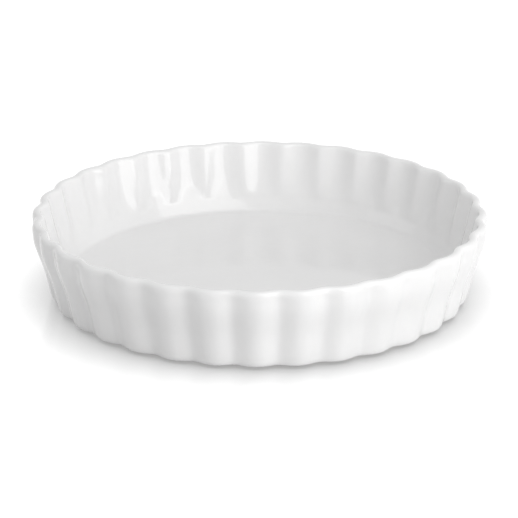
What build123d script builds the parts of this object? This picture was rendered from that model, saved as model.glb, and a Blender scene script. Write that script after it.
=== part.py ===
"""Fluted quiche dish: a fired porcelain body under its glaze, standing on a bare foot ring.

Millimetres, +Z up. The origin is the centre of the circle on which the dish stands.
The outside and the inside of the wall are lofted through rings. A ring is a closed wave of ribs and
grooves, drawn in flats. Inside, the hollows run out in arches above a plain, turned well, which leans
in more than the wall above it and meets the floor in a tight corner.
"""
import os
from collections import namedtuple
from math import cos, hypot, pi, radians, sin, tan

from build123d import *

# The whole dish, measured over the glaze and across the tips of opposite ribs
RIM_DIAMETER = 254.0
DISH_HEIGHT = 47.4
FLUTE_COUNT = 32

# The outside of the wall: how far it stands in from the rim, at the base, the belt and the shoulder
BASE_INSET = 9.8
BASE_EDGE = 1.8
BELT_INSET = 6.6
BELT_HEIGHT = 18.0
SHOULDER_INSET = 0.7
SHOULDER_DROP = 10.4

# The lip
LIP_THICKNESS = 4.7
LIP_CHAMFER = 1.5

# The inside: the ridges lie on a cone, its lean in degrees from upright
CONE_LEAN = 12.2
FLOOR_THICKNESS = 6.7

# The plain well at the bottom of the inside: the height of its brim above the surface on which the dish
# stands, its lean in degrees from upright, and the corner between its side and the floor
WELL_HEIGHT = 15.5
WELL_LEAN = 30.0
WELL_CORNER_RADIUS = 3.0

# The arches in which the hollows between the ridges end, above the well
ARCH_RISE = 9.0
RIDGE_STAND = 0.3

# The depth of a flute, from the tip of its rib to the bottom of its groove
BASE_FLUTE_DEPTH = 2.4
WALL_FLUTE_DEPTH = 2.7
LIP_FLUTE_DEPTH = 2.4
INNER_FLUTE_DEPTH = 2.7

# The foot ring, bare where the dish stands
FOOT_INSET = 6.7
FOOT_WIDTH = 4.0
FOOT_HEIGHT = 1.3
FOOT_TAPER = 0.5

# The glaze
GLAZE_THICKNESS = 0.3

# The corners of one flute in plan, a little broader over the rib than in the groove: how far along its
# pitch from the rib's tip, and how deep, as shares of the pitch and of the depth
FLUTE_CORNER_SHARES = ((0.0, 0.0), (0.21, 0.31), (0.5, 1.0), (0.79, 0.31))

# How many flat facets stand for the round corner of the well
CORNER_FACETS = 2

Ring = namedtuple("Ring", "radius height depth")


def ring_wire(ring):
    """The closed outline of a ring, one wave per flute, with a rib's tip on the X axis."""
    points = []
    for flute in range(FLUTE_COUNT):
        for along_share, depth_share in FLUTE_CORNER_SHARES:
            angle = 2 * pi * (flute + along_share) / FLUTE_COUNT
            radius = ring.radius - ring.depth * depth_share
            points.append((radius * cos(angle), radius * sin(angle), ring.height))
    return Wire(Polyline(*points, close=True))


def make_loft(rings):
    """A solid with flat ends, lofted straight from ring to ring."""
    return Solid.make_loft([ring_wire(ring) for ring in rings], ruled=True)


def make_turned(section):
    """A solid of revolution from (radius, height) corners."""
    return revolve(Plane.XZ * make_face(Polyline(*section, close=True)), Axis.Z)


def arch_top():
    """The height at which the hollows start to run out, on the way down."""
    return WELL_HEIGHT + ARCH_RISE


def ridge_radius(height):
    """The radius of the cone on which the ridges lie."""
    top = RIM_DIAMETER / 2 - LIP_THICKNESS - INNER_FLUTE_DEPTH
    return top - (DISH_HEIGHT - LIP_CHAMFER - height) * tan(radians(CONE_LEAN))


def outside_rings():
    """The glazed outside, from the underside up to the outer edge of the lip's flat top."""
    rim = RIM_DIAMETER / 2
    base = rim - BASE_INSET
    return [
        Ring(base - BASE_EDGE, FOOT_HEIGHT, BASE_FLUTE_DEPTH),
        Ring(base, FOOT_HEIGHT + BASE_EDGE, BASE_FLUTE_DEPTH),
        Ring(rim - BELT_INSET, BELT_HEIGHT, WALL_FLUTE_DEPTH),
        Ring(rim - SHOULDER_INSET, DISH_HEIGHT - SHOULDER_DROP, WALL_FLUTE_DEPTH),
        Ring(rim, DISH_HEIGHT - LIP_CHAMFER, LIP_FLUTE_DEPTH),
        Ring(rim - LIP_CHAMFER, DISH_HEIGHT, LIP_FLUTE_DEPTH),
    ]


def hollow_rings():
    """The glazed inside, from the inner edge of the lip's flat top down to the foot of the arches."""
    rim = RIM_DIAMETER / 2
    return [
        Ring(rim - LIP_THICKNESS + LIP_CHAMFER, DISH_HEIGHT, LIP_FLUTE_DEPTH),
        Ring(rim - LIP_THICKNESS, DISH_HEIGHT - LIP_CHAMFER, INNER_FLUTE_DEPTH),
        Ring(ridge_radius(arch_top()) + INNER_FLUTE_DEPTH, arch_top(), INNER_FLUTE_DEPTH),
        Ring(ridge_radius(WELL_HEIGHT), WELL_HEIGHT, INNER_FLUTE_DEPTH),
    ]


def well_rings():
    """The glazed well, from the top of the arches to its brim and round its corner to the floor."""
    lean = radians(WELL_LEAN)
    brim = ridge_radius(WELL_HEIGHT) + RIDGE_STAND
    centre_height = FOOT_HEIGHT + FLOOR_THICKNESS + WELL_CORNER_RADIUS
    side_drop = WELL_HEIGHT - centre_height + WELL_CORNER_RADIUS * sin(lean)
    centre = brim - side_drop * tan(lean) - WELL_CORNER_RADIUS * cos(lean)
    rings = [Ring(ridge_radius(arch_top()) + RIDGE_STAND, arch_top(), 0), Ring(brim, WELL_HEIGHT, 0)]
    for facet in range(CORNER_FACETS + 1):
        turn = lean + (pi / 2 - lean) * facet / CORNER_FACETS
        radius = centre + WELL_CORNER_RADIUS * cos(turn)
        rings.append(Ring(radius, centre_height - WELL_CORNER_RADIUS * sin(turn), 0))
    return rings


def sunk_rings(rings, distance):
    """The same surface at a distance inside the wall, with its bends kept parallel."""
    sides = [(low.height - high.height, high.radius - low.radius) for low, high in zip(rings, rings[1:])]
    normals = [(across / hypot(across, up), up / hypot(across, up)) for across, up in sides]
    sunk = []
    for ring, before, after in zip(rings, normals[:1] + normals, normals + normals[-1:]):
        spread = 1 + before[0] * after[0] + before[1] * after[1]
        radius = ring.radius + distance * (before[0] + after[0]) / spread
        height = ring.height + distance * (before[1] + after[1]) / spread
        sunk.append(Ring(radius, height, ring.depth))
    return sunk


def make_dish(distance):
    """The dish without its foot ring, with every surface sunk by a distance below the glaze's own."""
    outside = outside_rings()
    underside = Ring(outside[0].radius - FOOT_INSET, FOOT_HEIGHT, 0)
    skin = sunk_rings([underside] + outside + hollow_rings(), distance)[1:]
    block = make_loft(skin[:len(outside)])
    hollow = make_loft(skin[len(outside):])
    well = [(ring.radius, ring.height) for ring in sunk_rings(well_rings(), distance)]
    centre_line = [(0, well[-1][1]), (0, well[0][1])]
    return block - hollow - make_turned(well + centre_line)


def body_base():
    """The height of the porcelain's own underside, above the glaze on it."""
    return FOOT_HEIGHT + GLAZE_THICKNESS


def foot_edges(height):
    """The outer and the inner radius of the foot ring at a height above its tread."""
    outer = RIM_DIAMETER / 2 - BASE_INSET - FOOT_INSET
    taper = FOOT_TAPER * (1 - height / body_base())
    return outer - taper, outer - FOOT_WIDTH + taper


def make_porcelain_body(core):
    """The fired body: floor, fluted wall and lip in one, on its foot ring."""
    outer, inner = foot_edges(body_base())
    tread_outer, tread_inner = foot_edges(0)
    section = [(outer, body_base()), (tread_outer, 0), (tread_inner, 0), (inner, body_base())]
    return core + make_turned(section)


def make_glaze_coat(core):
    """The glaze over everything outside the foot ring, from its own surface down to the body's."""
    outer = foot_edges(body_base())[0]
    tread_outer = foot_edges(0)[0]
    inside_foot = [(0, 0), (tread_outer, 0), (outer, body_base()), (0, body_base())]
    return make_dish(0) - core - make_turned(inside_foot)


def make_underside_glaze():
    """The pool of glaze on the underside, inside the foot ring."""
    low_edge = foot_edges(FOOT_HEIGHT)[1]
    top_edge = foot_edges(body_base())[1]
    return make_turned([(0, FOOT_HEIGHT), (low_edge, FOOT_HEIGHT), (top_edge, body_base()), (0, body_base())])


def main():
    """Write one STEP file per piece."""
    os.makedirs("parts", exist_ok=True)
    core = make_dish(GLAZE_THICKNESS)
    pieces = {
        "porcelain_body": make_porcelain_body(core),
        "glaze_coat": make_glaze_coat(core),
        "underside_glaze": make_underside_glaze(),
    }
    for name, piece in pieces.items():
        export_step(piece, os.path.join("parts", name + ".step"))


main()
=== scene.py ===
"""Looks of a fluted quiche dish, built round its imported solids.

Everything is in metres in the frame of the solids: +Z up, the dish standing on z = 0 with its axis
on the origin, and the viewer of the photograph on the -Y side.
"""
import logging
import math
from dataclasses import dataclass
from enum import Enum
from typing import Callable

import bmesh
import bpy
from mathutils import Matrix, Vector


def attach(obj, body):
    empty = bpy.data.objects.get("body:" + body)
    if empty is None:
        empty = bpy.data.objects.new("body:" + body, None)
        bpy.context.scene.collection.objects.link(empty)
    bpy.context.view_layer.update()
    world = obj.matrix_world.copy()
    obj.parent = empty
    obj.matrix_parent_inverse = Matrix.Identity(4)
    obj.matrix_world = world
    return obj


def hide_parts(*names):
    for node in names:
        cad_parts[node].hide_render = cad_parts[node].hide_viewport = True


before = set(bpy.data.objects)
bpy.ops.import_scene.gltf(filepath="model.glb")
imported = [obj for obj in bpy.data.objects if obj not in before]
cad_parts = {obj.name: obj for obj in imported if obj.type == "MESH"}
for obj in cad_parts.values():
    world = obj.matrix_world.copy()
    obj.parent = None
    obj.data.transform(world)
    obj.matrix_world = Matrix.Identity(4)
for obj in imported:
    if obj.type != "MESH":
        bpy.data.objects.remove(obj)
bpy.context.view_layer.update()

log = logging.getLogger("quiche_dish")

# A millimetre in the frame's metres, and how thick the glaze is in millimetres
MM = 0.001
GLAZE_THICKNESS = 0.3

# The Mix node's sockets by number, because numbers and colours share their names in it
MIX_FACTOR = 0
MIX_NUMBER_A = 2
MIX_NUMBER_B = 3
MIX_NUMBER_OUT = 0
MIX_COLOUR_A = 6
MIX_COLOUR_B = 7
MIX_COLOUR_OUT = 2

# A node's place in the editor, and a colour
Spot = tuple[float, float]
Colour = tuple[float, float, float]


class Finish(Enum):
    """The finishes on the dish, by their slots in the record."""

    GLAZE = "glaze"
    PORCELAIN = "porcelain"


# Shared shader effects


def socket(group: bpy.types.NodeTree, name: str, way: str, kind: str,
           value: float | None = None) -> None:
    """Add one named input or output to a shader group.

    Args:
        group: The group.
        name: The socket's name.
        way: "INPUT" or "OUTPUT".
        kind: The socket's type.
        value: Its default, for an input that has one.
    """
    made = group.interface.new_socket(name=name, in_out=way, socket_type=kind)
    if value is not None:
        made.default_value = value


def place(tree: bpy.types.NodeTree, kind: str, spot: Spot, **settings: object) -> bpy.types.Node:
    """Add a shader node with its settings.

    Args:
        tree: The tree that gets the node.
        kind: The node's type.
        spot: Its place in the editor.
        **settings: Properties of the node.

    Returns:
        The node.
    """
    node = tree.nodes.new(kind)
    node.location = spot
    for name, value in settings.items():
        setattr(node, name, value)
    return node


def make_firing_mottle() -> bpy.types.NodeTree:
    """Make the cloudy unevenness that fired ware has, slow and fine together.

    Returns:
        A group from a position, two scales and an amount of the fine part to a value about 0.5.
    """
    group = bpy.data.node_groups.new("firing_mottle", "ShaderNodeTree")
    socket(group, "Position", "INPUT", "NodeSocketVector")
    socket(group, "Cloud Scale", "INPUT", "NodeSocketFloat", 18.0)
    socket(group, "Grain Scale", "INPUT", "NodeSocketFloat", 400.0)
    socket(group, "Grain Share", "INPUT", "NodeSocketFloat", 0.3)
    socket(group, "Value", "OUTPUT", "NodeSocketFloat")
    start = place(group, "NodeGroupInput", (-600, 0))
    clouds = place(group, "ShaderNodeTexNoise", (-350, 150))
    clouds.inputs["Detail"].default_value = 3.0
    clouds.inputs["Roughness"].default_value = 0.45
    grain = place(group, "ShaderNodeTexNoise", (-350, -150))
    grain.inputs["Detail"].default_value = 4.0
    blend = place(group, "ShaderNodeMix", (-100, 0), data_type="FLOAT")
    end = place(group, "NodeGroupOutput", (120, 0))
    link = group.links.new
    link(start.outputs["Position"], clouds.inputs["Vector"])
    link(start.outputs["Position"], grain.inputs["Vector"])
    link(start.outputs["Cloud Scale"], clouds.inputs["Scale"])
    link(start.outputs["Grain Scale"], grain.inputs["Scale"])
    link(start.outputs["Grain Share"], blend.inputs[MIX_FACTOR])
    link(clouds.outputs["Fac"], blend.inputs[MIX_NUMBER_A])
    link(grain.outputs["Fac"], blend.inputs[MIX_NUMBER_B])
    link(blend.outputs[MIX_NUMBER_OUT], end.inputs["Value"])
    return group


def make_pitting() -> bpy.types.NodeTree:
    """Make sparse, tiny pits such as pinholes and kiln specks.

    Returns:
        A group from a position, a scale and a pit size to a mask that is 1 in each pit.
    """
    group = bpy.data.node_groups.new("pitting", "ShaderNodeTree")
    socket(group, "Position", "INPUT", "NodeSocketVector")
    socket(group, "Scale", "INPUT", "NodeSocketFloat", 60.0)
    socket(group, "Pit Size", "INPUT", "NodeSocketFloat", 0.02)
    socket(group, "Mask", "OUTPUT", "NodeSocketFloat")
    start = place(group, "NodeGroupInput", (-600, 0))
    cells = place(group, "ShaderNodeTexVoronoi", (-380, 0), feature="F1")
    edge = place(group, "ShaderNodeMath", (-150, 0), operation="LESS_THAN")
    end = place(group, "NodeGroupOutput", (60, 0))
    link = group.links.new
    link(start.outputs["Position"], cells.inputs["Vector"])
    link(start.outputs["Scale"], cells.inputs["Scale"])
    link(cells.outputs["Distance"], edge.inputs[0])
    link(start.outputs["Pit Size"], edge.inputs[1])
    link(edge.outputs[0], end.inputs["Mask"])
    return group


@dataclass(frozen=True)
class Mottle:
    """How small the clouds and the grain of a firing mottle are, and how much of it is grain."""

    cloud_scale: float
    grain_scale: float
    grain_share: float


class Effects:
    """The shared groups, made once."""

    def __init__(self) -> None:
        """Make the groups."""
        self.mottle = make_firing_mottle()
        self.pitting = make_pitting()

    def use(self, tree: bpy.types.NodeTree, group: bpy.types.NodeTree, spot: Spot,
            **values: float) -> bpy.types.Node:
        """Put a shared group in a material.

        Args:
            tree: The material's nodes.
            group: The shared group.
            spot: Its place in the editor.
            **values: Its own inputs, with an underscore for each space.

        Returns:
            The group's node.
        """
        node = place(tree, "ShaderNodeGroup", spot, node_tree=group)
        for name, value in values.items():
            node.inputs[name.replace("_", " ")].default_value = value
        return node

    def uneven(self, tree: bpy.types.NodeTree, spot: Spot, mottle: Mottle) -> bpy.types.Node:
        """Put a firing mottle in a material.

        Args:
            tree: The material's nodes.
            spot: Its place in the editor.
            mottle: The kind of mottle.

        Returns:
            The group's node.
        """
        return self.use(tree, self.mottle, spot, Cloud_Scale=mottle.cloud_scale,
                        Grain_Scale=mottle.grain_scale, Grain_Share=mottle.grain_share)


def ramp(tree: bpy.types.NodeTree, spot: Spot, span: tuple[float, float],
         dark: Colour, light: Colour) -> bpy.types.Node:
    """Add a colour ramp of two colours.

    Args:
        tree: The material's nodes.
        spot: Its place in the editor.
        span: Where the first colour ends and where the second begins.
        dark: The first colour.
        light: The second colour.

    Returns:
        The ramp's node.
    """
    node = place(tree, "ShaderNodeValToRGB", spot)
    first, last = node.color_ramp.elements
    first.position, last.position = span
    first.color, last.color = (*dark, 1.0), (*light, 1.0)
    return node


@dataclass(frozen=True)
class GlazeFinish:
    """White, glossy glaze over porcelain, slightly uneven in tone and gloss, with a faint ripple."""

    name: str = "white_glaze"
    light: Colour = (0.87, 0.868, 0.867)
    dark: Colour = (0.836, 0.834, 0.834)
    tone_span: tuple[float, float] = (0.35, 0.65)
    roughness: tuple[float, float] = (0.04, 0.075)
    unevenness: Mottle = Mottle(14.0, 260.0, 0.2)
    ripple: Mottle = Mottle(55.0, 900.0, 0.12)
    ripple_strength: float = 0.15
    ripple_height: float = 0.0006
    refraction: float = 1.5

    def make(self, effects: Effects) -> bpy.types.Material:
        """Make the material.

        Args:
            effects: The shared groups.

        Returns:
            The material.
        """
        material = bpy.data.materials.new(self.name)
        material.use_nodes = True
        tree = material.node_tree
        shader = tree.nodes["Principled BSDF"]
        where = place(tree, "ShaderNodeTexCoord", (-1100, 0))
        mottle = effects.uneven(tree, (-850, 150), self.unevenness)
        tone = ramp(tree, (-550, 250), self.tone_span, self.dark, self.light)
        gloss = place(tree, "ShaderNodeMapRange", (-550, 0))
        gloss.inputs["To Min"].default_value, gloss.inputs["To Max"].default_value = self.roughness
        ripple = effects.uneven(tree, (-850, -250), self.ripple)
        bump = place(tree, "ShaderNodeBump", (-300, -250))
        bump.inputs["Strength"].default_value = self.ripple_strength
        bump.inputs["Distance"].default_value = self.ripple_height
        link = tree.links.new
        link(where.outputs["Object"], mottle.inputs["Position"])
        link(where.outputs["Object"], ripple.inputs["Position"])
        link(mottle.outputs["Value"], tone.inputs["Fac"])
        link(mottle.outputs["Value"], gloss.inputs["Value"])
        link(ripple.outputs["Value"], bump.inputs["Height"])
        link(tone.outputs["Color"], shader.inputs["Base Color"])
        link(gloss.outputs["Result"], shader.inputs["Roughness"])
        link(bump.outputs["Normal"], shader.inputs["Normal"])
        shader.inputs["IOR"].default_value = self.refraction
        return material


@dataclass(frozen=True)
class BiscuitFinish:
    """Bare fired porcelain: matt, fine-grained and a little warm, with kiln specks."""

    name: str = "bare_porcelain"
    light: Colour = (0.74, 0.715, 0.67)
    dark: Colour = (0.64, 0.605, 0.55)
    tone_span: tuple[float, float] = (0.3, 0.7)
    roughness: float = 0.78
    grain: Mottle = Mottle(45.0, 1400.0, 0.45)
    grain_strength: float = 0.35
    grain_height: float = 0.0002
    speck: Colour = (0.33, 0.28, 0.23)
    speck_scale: float = 110.0
    speck_size: float = 0.035

    def make(self, effects: Effects) -> bpy.types.Material:
        """Make the material.

        Args:
            effects: The shared groups.

        Returns:
            The material.
        """
        material = bpy.data.materials.new(self.name)
        material.use_nodes = True
        tree = material.node_tree
        shader = tree.nodes["Principled BSDF"]
        where = place(tree, "ShaderNodeTexCoord", (-1100, 0))
        mottle = effects.uneven(tree, (-850, 150), self.grain)
        tone = ramp(tree, (-550, 250), self.tone_span, self.dark, self.light)
        specks = effects.use(tree, effects.pitting, (-850, -80), Scale=self.speck_scale,
                             Pit_Size=self.speck_size)
        marked = place(tree, "ShaderNodeMix", (-250, 200), data_type="RGBA")
        marked.inputs[MIX_COLOUR_B].default_value = (*self.speck, 1.0)
        bump = place(tree, "ShaderNodeBump", (-250, -200))
        bump.inputs["Strength"].default_value = self.grain_strength
        bump.inputs["Distance"].default_value = self.grain_height
        link = tree.links.new
        link(where.outputs["Object"], mottle.inputs["Position"])
        link(where.outputs["Object"], specks.inputs["Position"])
        link(mottle.outputs["Value"], tone.inputs["Fac"])
        link(tone.outputs["Color"], marked.inputs[MIX_COLOUR_A])
        link(specks.outputs["Mask"], marked.inputs[MIX_FACTOR])
        link(mottle.outputs["Value"], bump.inputs["Height"])
        link(marked.outputs[MIX_COLOUR_OUT], shader.inputs["Base Color"])
        link(bump.outputs["Normal"], shader.inputs["Normal"])
        shader.inputs["Roughness"].default_value = self.roughness
        return material


# The dish


@dataclass(frozen=True)
class Ring:
    """One ring of the dish's surface, in millimetres.

    The radius is that of a rib's tip outside, and of the hollow behind the rib inside. A groove is
    the depth deeper, and the fullness says how much of a flute's wave is left: 1 for all of it, and
    less where only the bottom of its groove still shows.
    """

    radius: float
    height: float
    depth: float = 0.0
    fullness: float = 1.0


def select_only(thing: bpy.types.Object) -> None:
    """Deselect everything, then select one object and make it the active one."""
    bpy.ops.object.select_all(action="DESELECT")
    thing.select_set(True)
    bpy.context.view_layer.objects.active = thing


@dataclass(frozen=True)
class FlutedForm:
    """The form that the glaze and the porcelain share: rings of flutes, drawn as one flute.

    Sizes are in millimetres. The groove shares say how deep each column of vertices lies in the
    groove, from the rib's tip to the groove's middle. A hollow is a height with the share of its
    depth that is left there, and a point of the well is a radius with a height.
    """

    flutes: int = 32
    columns: int = 8
    column_slack: float = 0.1
    groove_shares: tuple[float, ...] = (-0.045, 0.09, 0.41, 0.80, 1.10)
    foot_outer: float = 110.5
    underside: float = 1.3
    base_depth: float = 2.5
    wall_depth: float = 2.8
    lip_depth: float = 2.3
    inner_depth: float = 2.8
    ridge_top: Ring = Ring(119.6, 45.9)
    lean: float = math.radians(12.2)
    hollows: tuple[tuple[float, float], ...] = (
        (43.5, 1.0),
        (38.0, 0.97),
        (31.0, 0.88),
        (26.0, 0.74),
        (22.0, 0.56),
        (19.0, 0.34),
        (16.8, 0.14),
        (15.2, 0.05),
    )
    well: tuple[tuple[float, float], ...] = (
        (112.0, 13.2),
        (110.35, 10.3),
        (109.55, 9.0),
        (108.5, 8.2),
        (107.0, 8.0),
        (104.0, 7.995),
        (96.0, 8.0),
    )
    floor_height: float = 8.0
    cap_steps: tuple[float, ...] = (0.7, 0.5, 0.3, 0.0)
    cap_slack: float = 0.1
    weld: float = 0.02

    def outside_rings(self) -> list[Ring]:
        """The outside, from the foot ring out and up to the top of the lip."""
        base, wall, lip = self.base_depth, self.wall_depth, self.lip_depth
        return [
            Ring(self.foot_outer, self.underside),
            Ring(112.2, self.underside, 0.16 * base),
            Ring(114.6, 1.34, 0.92 * base),
            Ring(116.1, 1.75, base),
            Ring(117.1, 3.0, base),
            Ring(117.9, 5.4, base),
            Ring(119.2, 11.0, wall),
            Ring(120.5, 17.5, wall),
            Ring(122.2, 23.5, wall),
            Ring(124.3, 29.0, wall),
            Ring(125.8, 33.5, wall),
            Ring(126.8, 37.5, wall),
            Ring(127.0, 41.0, wall),
            Ring(127.05, 43.0, 0.5 * (wall + lip), 0.9),
            Ring(127.05, 44.6, lip, 0.95),
            Ring(126.9, 46.0, lip),
            Ring(126.1, 47.1, lip),
            Ring(124.9, 47.42, lip),
        ]

    def ridge_radius(self, height: float) -> float:
        """The radius of the cone on which the ridges inside lie, at a height."""
        return self.ridge_top.radius - (self.ridge_top.height - height) * math.tan(self.lean)

    def inside_rings(self) -> list[Ring]:
        """The inside, from the lip down the hollows, their arches and the well to the floor."""
        depth = self.inner_depth
        rings = [
            Ring(123.7, 47.42, self.lip_depth),
            Ring(122.7, 47.05, self.lip_depth),
            Ring(122.25, 46.0, depth),
        ]
        for height, left in self.hollows:
            rings.append(Ring(self.ridge_radius(height) + left * depth, height, left * depth))
        return rings + [Ring(radius, height) for radius, height in self.well]

    def sunk(self, rings: list[Ring], distance: float) -> list[Ring]:
        """The same rings at a distance below the surface that they draw.

        Args:
            rings: The rings, in their order along the surface.
            distance: How deep the new surface lies, in millimetres.

        Returns:
            The new rings.
        """
        sides = [Vector((low.height - high.height, high.radius - low.radius)).normalized()
                 for low, high in zip(rings, rings[1:])]
        moved = []
        for ring, before, after in zip(rings, sides[:1] + sides, sides + sides[-1:]):
            step = (before + after) * distance / (1.0 + before.dot(after))
            moved.append(Ring(ring.radius + step.x, ring.height + step.y, ring.depth, ring.fullness))
        return moved

    def radius_at(self, ring: Ring, share: float) -> float:
        """The radius of a column of a ring.

        Args:
            ring: The ring.
            share: How deep the column lies in the groove.

        Returns:
            The radius in metres.
        """
        shown = max(0.0, 1.0 - (1.0 - share) / ring.fullness)
        return (ring.radius - ring.depth * shown) * MM

    def flute_turn(self, spot: Vector) -> float:
        """How far a point lies from the middle of the flute on +X, in columns."""
        return math.atan2(spot.y, spot.x) / (2.0 * math.pi) * self.flutes * self.columns

    def shape_ring(self, flute: bpy.types.Object, ring: Ring) -> None:
        """Bring each column of the selected arc to its radius.

        Args:
            flute: The mesh in edit mode, with the newest arc selected.
            ring: The ring that the arc becomes.
        """
        mesh = bmesh.from_edit_mesh(flute.data)
        arc = [vertex for vertex in mesh.verts if vertex.select]
        for column, share in enumerate(self.groove_shares):
            bpy.ops.mesh.select_all(action="DESELECT")
            chosen = [vertex for vertex in arc if round(abs(self.flute_turn(vertex.co))) == column]
            for vertex in chosen:
                vertex.select_set(True)
            bmesh.update_edit_mesh(flute.data)
            grow = self.radius_at(ring, share) / chosen[0].co.xy.length
            bpy.ops.transform.resize(value=(grow, grow, 1.0), center_override=(0.0, 0.0, 0.0))
        for vertex in arc:
            vertex.select_set(True)
        mesh.select_flush(True)
        bmesh.update_edit_mesh(flute.data)

    def draw_flute(self, rings: list[Ring]) -> bpy.types.Object:
        """Draw one flute, extruding an arc from ring to ring.

        Args:
            rings: The rings, in their order along the surface.

        Returns:
            The flute, in edit mode.
        """
        first = rings[0]
        bpy.ops.mesh.primitive_circle_add(vertices=self.flutes * self.columns, radius=first.radius * MM,
                                          location=(0.0, 0.0, first.height * MM))
        flute = bpy.context.object
        bpy.ops.object.transform_apply(location=True, rotation=True, scale=True)
        bpy.ops.object.mode_set(mode="EDIT")
        bpy.ops.mesh.select_mode(type="VERT")
        bpy.ops.mesh.select_all(action="DESELECT")
        mesh = bmesh.from_edit_mesh(flute.data)
        reach = self.columns / 2 + self.column_slack
        for vertex in mesh.verts:
            vertex.select_set(abs(self.flute_turn(vertex.co)) > reach)
        bpy.ops.mesh.delete(type="VERT")
        bpy.ops.mesh.select_all(action="SELECT")
        self.shape_ring(flute, first)
        for before, ring in zip(rings, rings[1:]):
            rise = (ring.height - before.height) * MM
            bpy.ops.mesh.extrude_region_move(TRANSFORM_OT_translate={"value": (0.0, 0.0, rise)})
            self.shape_ring(flute, ring)
        return flute

    def throw(self, name: str, rings: list[Ring]) -> bpy.types.Object:
        """Copy a flute all round, join the copies and round the surface off.

        Args:
            name: The surface's name.
            rings: The rings, in their order along the surface.

        Returns:
            The surface, open at its first and last ring.
        """
        bpy.ops.object.select_all(action="DESELECT")
        surface = self.draw_flute(rings)
        surface.name = surface.data.name = name
        bpy.ops.mesh.select_all(action="SELECT")
        copies = self.flutes - 1
        bpy.ops.mesh.spin(steps=copies, dupli=True, angle=2.0 * math.pi * copies / self.flutes,
                          center=(0.0, 0.0, 0.0), axis=(0.0, 0.0, 1.0))
        bpy.ops.mesh.select_all(action="SELECT")
        bpy.ops.mesh.remove_doubles(threshold=self.weld * MM)
        bpy.ops.object.mode_set(mode="OBJECT")
        smooth = surface.modifiers.new("round_off", "SUBSURF")
        smooth.levels = smooth.render_levels = 1
        bpy.ops.object.modifier_apply(modifier=smooth.name)
        return surface

    def close_middle(self, surface: bpy.types.Object, height: float) -> None:
        """Close the round hole that a surface has at a height, with rings and a pole.

        Args:
            surface: The surface.
            height: The hole's height in millimetres.
        """
        select_only(surface)
        bpy.ops.object.mode_set(mode="EDIT")
        bpy.ops.mesh.select_mode(type="VERT")
        bpy.ops.mesh.select_all(action="DESELECT")
        mesh = bmesh.from_edit_mesh(surface.data)
        slack = self.cap_slack * MM
        for edge in mesh.edges:
            if edge.is_boundary and all(abs(end.co.z - height * MM) < slack for end in edge.verts):
                edge.select_set(True)
        bmesh.update_edit_mesh(surface.data)
        for grow in self.cap_steps:
            bpy.ops.mesh.extrude_region_move(TRANSFORM_OT_translate={"value": (0.0, 0.0, 0.0)})
            bpy.ops.transform.resize(value=(grow, grow, 1.0), center_override=(0.0, 0.0, 0.0))
        bpy.ops.mesh.merge(type="CENTER")
        bpy.ops.mesh.select_all(action="SELECT")
        bpy.ops.mesh.normals_make_consistent(inside=False)
        bpy.ops.object.mode_set(mode="OBJECT")


@dataclass
class GlazeCoat:
    """The glaze over the dish, a thin closed skin."""

    form: FlutedForm
    finish: bpy.types.Material

    def build(self) -> bpy.types.Object:
        """Make the coat.

        Returns:
            The coat.
        """
        rings = self.form.outside_rings() + self.form.inside_rings()
        coat = self.form.throw("glazed_dish", rings)
        self.form.close_middle(coat, self.form.floor_height)
        wall = coat.modifiers.new("glaze", "SOLIDIFY")
        wall.thickness = GLAZE_THICKNESS * MM
        wall.offset = -1.0
        wall.use_even_offset = True
        bpy.ops.object.modifier_apply(modifier=wall.name)
        bpy.ops.object.shade_smooth()
        coat.data.materials.append(self.finish)
        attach(coat, "root")
        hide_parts("glaze_coat")
        return coat


@dataclass
class PorcelainBody:
    """The porcelain under the glaze, with the bare foot ring on which the dish stands."""

    form: FlutedForm
    finish: bpy.types.Material
    underside: float = 1.6
    foot_inner: float = 106.5

    def foot_rings(self) -> list[Ring]:
        """The underside's edge and the foot ring, from the inside outwards."""
        inner, outer = self.foot_inner, self.form.foot_outer
        return [
            Ring(inner - 1.5, self.underside),
            Ring(inner - 0.1, self.underside - 0.05),
            Ring(inner + 0.2, 0.9),
            Ring(inner + 0.45, 0.15),
            Ring(inner + 0.8, 0.0),
            Ring(outer - 0.8, 0.0),
            Ring(outer - 0.45, 0.15),
            Ring(outer - 0.2, 0.9),
        ]

    def build(self) -> bpy.types.Object:
        """Make the body.

        Returns:
            The body.
        """
        skin = self.form.outside_rings() + self.form.inside_rings()
        rings = self.foot_rings() + self.form.sunk(skin, GLAZE_THICKNESS)
        body = self.form.throw("porcelain_and_foot", rings)
        self.form.close_middle(body, self.underside)
        self.form.close_middle(body, self.form.floor_height - GLAZE_THICKNESS)
        bpy.ops.object.shade_smooth()
        body.data.materials.append(self.finish)
        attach(body, "root")
        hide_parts("porcelain_body")
        return body


# The studio


def outward(turn: float, lift: float) -> Vector:
    """The direction at a turn to the right of the front and a lift, both in degrees."""
    across, up = math.radians(turn), math.radians(lift)
    level = math.cos(up)
    return Vector((math.sin(across) * level, -math.cos(across) * level, math.sin(up)))


def grey(tone: float) -> tuple[float, float, float, float]:
    """An opaque grey, as a shader's colour."""
    return (tone, tone, tone, 1.0)


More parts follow.
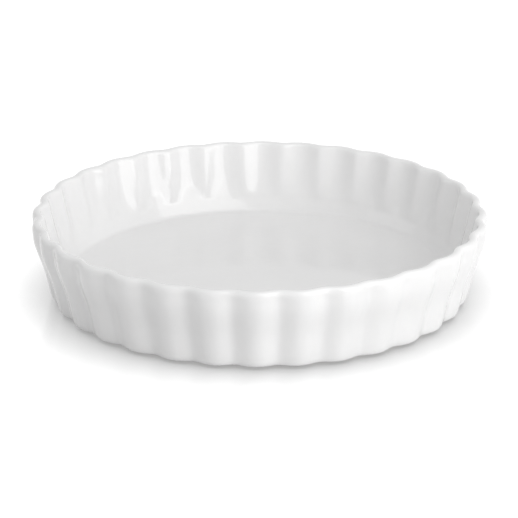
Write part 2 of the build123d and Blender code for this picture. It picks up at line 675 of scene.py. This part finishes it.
def seen_ray(tree: bpy.types.NodeTree, spot: Spot) -> bpy.types.NodeSocket:
    """Add nodes that are 1 for a ray from the eye, one mirrored in a surface or one through glass.

    Args:
        tree: The tree of the floor or the surroundings.
        spot: Where the nodes stand in the editor.

    Returns:
        The socket with the value.
    """
    path = place(tree, "ShaderNodeLightPath", spot)
    beyond = place(tree, "ShaderNodeMath", (spot[0] + 200, spot[1] - 100), operation="MAXIMUM")
    seen = place(tree, "ShaderNodeMath", (spot[0] + 400, spot[1]), operation="MAXIMUM")
    tree.links.new(path.outputs["Is Glossy Ray"], beyond.inputs[0])
    tree.links.new(path.outputs["Is Transmission Ray"], beyond.inputs[1])
    tree.links.new(path.outputs["Is Camera Ray"], seen.inputs[0])
    tree.links.new(beyond.outputs[0], seen.inputs[1])
    return seen.outputs[0]


@dataclass(frozen=True)
class FloorFinish:
    """A pale floor, near white and faintly glossy to the eye, with a soft shade beside the dish.

    The tone and the roughness are those with which it throws light on the dish. The rest is what
    the eye and a reflection see: a matt floor with a share of polish, a glow that lifts it to
    white, and the shade. Within the shade's reach the floor darkens with the share of its view that
    the dish takes away, down to the least light where no more than the closed-in share is open.
    """

    name: str = "pale_floor"
    tone: float = 0.7
    roughness: float = 0.3
    seen_tone: float = 0.45
    polish_share: float = 0.35
    polish_roughness: float = 0.16
    glow: float = 0.66
    shade_reach: float = 0.03
    shade_samples: int = 8
    closed_in: float = 0.2
    least_light: float = 0.5

    def make(self) -> bpy.types.Material:
        """Make the material.

        Returns:
            The material.
        """
        material = bpy.data.materials.new(self.name)
        material.use_nodes = True
        tree = material.node_tree
        shader = tree.nodes["Principled BSDF"]
        shader.inputs["Base Color"].default_value = grey(self.tone)
        shader.inputs["Roughness"].default_value = self.roughness
        matt = place(tree, "ShaderNodeBsdfDiffuse", (-100, -300))
        matt.inputs["Color"].default_value = grey(self.seen_tone)
        polish = place(tree, "ShaderNodeBsdfAnisotropic", (-100, -450))
        polish.inputs["Roughness"].default_value = self.polish_roughness
        polished = place(tree, "ShaderNodeMixShader", (120, -350))
        polished.inputs["Fac"].default_value = self.polish_share
        glow = place(tree, "ShaderNodeEmission", (60, -650))
        glow.inputs["Strength"].default_value = self.glow
        lit = place(tree, "ShaderNodeAddShader", (320, -450))
        near = place(tree, "ShaderNodeAmbientOcclusion", (-100, -800), samples=self.shade_samples)
        near.inputs["Distance"].default_value = self.shade_reach
        keep = place(tree, "ShaderNodeMapRange", (120, -800))
        keep.inputs["From Min"].default_value = self.closed_in
        keep.inputs["To Min"].default_value = self.least_light
        shaded = place(tree, "ShaderNodeMixShader", (420, -600))
        shown = place(tree, "ShaderNodeMixShader", (620, 0))
        link = tree.links.new
        link(matt.outputs[0], polished.inputs[1])
        link(polish.outputs[0], polished.inputs[2])
        link(polished.outputs[0], lit.inputs[0])
        link(glow.outputs[0], lit.inputs[1])
        link(seen_ray(tree, (0, 300)), shown.inputs["Fac"])
        link(shader.outputs[0], shown.inputs[1])
        link(near.outputs["AO"], keep.inputs["Value"])
        link(keep.outputs["Result"], shaded.inputs["Fac"])
        link(lit.outputs[0], shaded.inputs[2])
        link(shaded.outputs[0], shown.inputs[2])
        link(shown.outputs[0], tree.nodes["Material Output"].inputs["Surface"])
        return material


@dataclass(frozen=True)
class Surroundings:
    """The white surroundings: full white to the eye and in reflections, softer as light."""

    name: str = "white_studio"
    light: float = 0.59
    seen: float = 1.0

    def make(self) -> bpy.types.World:
        """Make the world.

        Returns:
            The world.
        """
        world = bpy.data.worlds.new(self.name)
        bpy.context.scene.world = world
        world.use_nodes = True
        tree = world.node_tree
        fill = tree.nodes["Background"]
        fill.inputs["Color"].default_value = grey(1.0)
        fill.inputs["Strength"].default_value = self.light
        shown = place(tree, "ShaderNodeBackground", (0, -200))
        shown.inputs["Color"].default_value = grey(1.0)
        shown.inputs["Strength"].default_value = self.seen
        blend = place(tree, "ShaderNodeMixShader", (250, 0))
        link = tree.links.new
        link(seen_ray(tree, (-400, 250)), blend.inputs["Fac"])
        link(fill.outputs[0], blend.inputs[1])
        link(shown.outputs[0], blend.inputs[2])
        link(blend.outputs[0], tree.nodes["World Output"].inputs["Surface"])
        return world


@dataclass(frozen=True)
class SoftLamp:
    """A soft lamp, placed by its turn to the right of the front and its lift, both in degrees."""

    name: str
    turn: float
    lift: float
    size: tuple[float, float]
    watts: float
    distance: float = 1.5

    def make(self) -> bpy.types.Object:
        """Make the lamp, aimed at the dish.

        Returns:
            The lamp.
        """
        data = bpy.data.lights.new(self.name, "AREA")
        data.shape = "RECTANGLE"
        data.size, data.size_y = self.size
        data.energy = self.watts
        away = outward(self.turn, self.lift)
        lamp = bpy.data.objects.new(self.name, data)
        lamp.location = away * self.distance
        lamp.rotation_euler = away.to_track_quat("Z", "Y").to_euler()
        bpy.context.scene.collection.objects.link(lamp)
        return lamp


@dataclass(frozen=True)
class Studio:
    """The floor, the lamps, the white surroundings and the camera.

    The floor's size and drop and the camera's distance are in metres, the lens and the sensor in
    millimetres, the camera's turn and lift in degrees. The photograph's width and the place of the
    centre of the dish's base in it are in pixels.
    """

    floor: FloorFinish = FloorFinish()
    floor_size: float = 14.0
    floor_drop: float = 0.0001
    surroundings: Surroundings = Surroundings()
    camera_turn: float = 0.9
    camera_lift: float = 21.417
    camera_distance: float = 1.3722
    lens: float = 168.77
    sensor: float = 36.0
    pixels: float = 518.0
    centre_at: tuple[float, float] = (259.53, 289.13)
    lamps: tuple[SoftLamp, ...] = (
        SoftLamp("front_softbox", 41.0, 32.0, (1.3, 0.85), 6.4),
        SoftLamp("low_window", 48.0, 10.0, (1.4, 0.48), 4.7),
        SoftLamp("high_softbox", 34.0, 58.0, (0.9, 0.6), 2.1),
        SoftLamp("left_fill", -90.0, 28.0, (0.8, 0.6), 0.9),
    )

    def make_floor(self) -> bpy.types.Object:
        """Make the pale, faintly glossy floor.

        Returns:
            The floor.
        """
        bpy.ops.mesh.primitive_plane_add(size=self.floor_size, location=(0.0, 0.0, -self.floor_drop))
        floor = bpy.context.object
        floor.name = "floor"
        floor.data.materials.append(self.floor.make())
        return floor

    def make_camera(self) -> bpy.types.Object:
        """Make the camera, aimed so that the centre of the base falls where the photograph has it.

        Returns:
            The camera.
        """
        back = outward(self.camera_turn, self.camera_lift)
        data = bpy.data.cameras.new("camera")
        data.lens = self.lens
        data.sensor_width = self.sensor
        camera = bpy.data.objects.new("camera", data)
        focal = self.lens / self.sensor * self.pixels
        across = math.atan((self.centre_at[0] - self.pixels / 2.0) / focal)
        down = math.atan((self.centre_at[1] - self.pixels / 2.0) / focal)
        aim = (-back).to_track_quat("-Z", "Y").to_matrix()
        aim = aim @ Matrix.Rotation(down, 3, "X") @ Matrix.Rotation(across, 3, "Y")
        camera.matrix_world = Matrix.Translation(back * self.camera_distance) @ aim.to_4x4()
        bpy.context.scene.collection.objects.link(camera)
        bpy.context.scene.camera = camera
        return camera

    def build(self) -> None:
        """Set the whole studio up."""
        self.make_floor()
        self.surroundings.make()
        for lamp in self.lamps:
            lamp.make()
        self.make_camera()
        bpy.context.scene.view_settings.view_transform = "Standard"


def report(step: str, make: Callable[[], bpy.types.Object]) -> bpy.types.Object:
    """Make a piece and log it.

    Args:
        step: What is being made.
        make: The call that makes it.

    Returns:
        The piece.
    """
    piece = make()
    log.info("%s: %s, %d faces", step, piece.name, len(piece.data.polygons))
    return piece


def main() -> None:
    """Build the pieces in order, dress the kept solid and set the studio up."""
    logging.basicConfig(level=logging.INFO, format="%(name)s: %(message)s")
    effects = Effects()
    glaze = GlazeFinish().make(effects)
    biscuit = BiscuitFinish().make(effects)
    bpy.ops.object.select_all(action="DESELECT")
    form = FlutedForm()
    report("glaze", GlazeCoat(form, glaze).build)
    report("porcelain", PorcelainBody(form, biscuit).build)
    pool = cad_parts["underside_glaze"]
    pool.data.materials.clear()
    pool.data.materials.append(glaze)
    Studio().build()


if __name__ == "__main__":
    main()
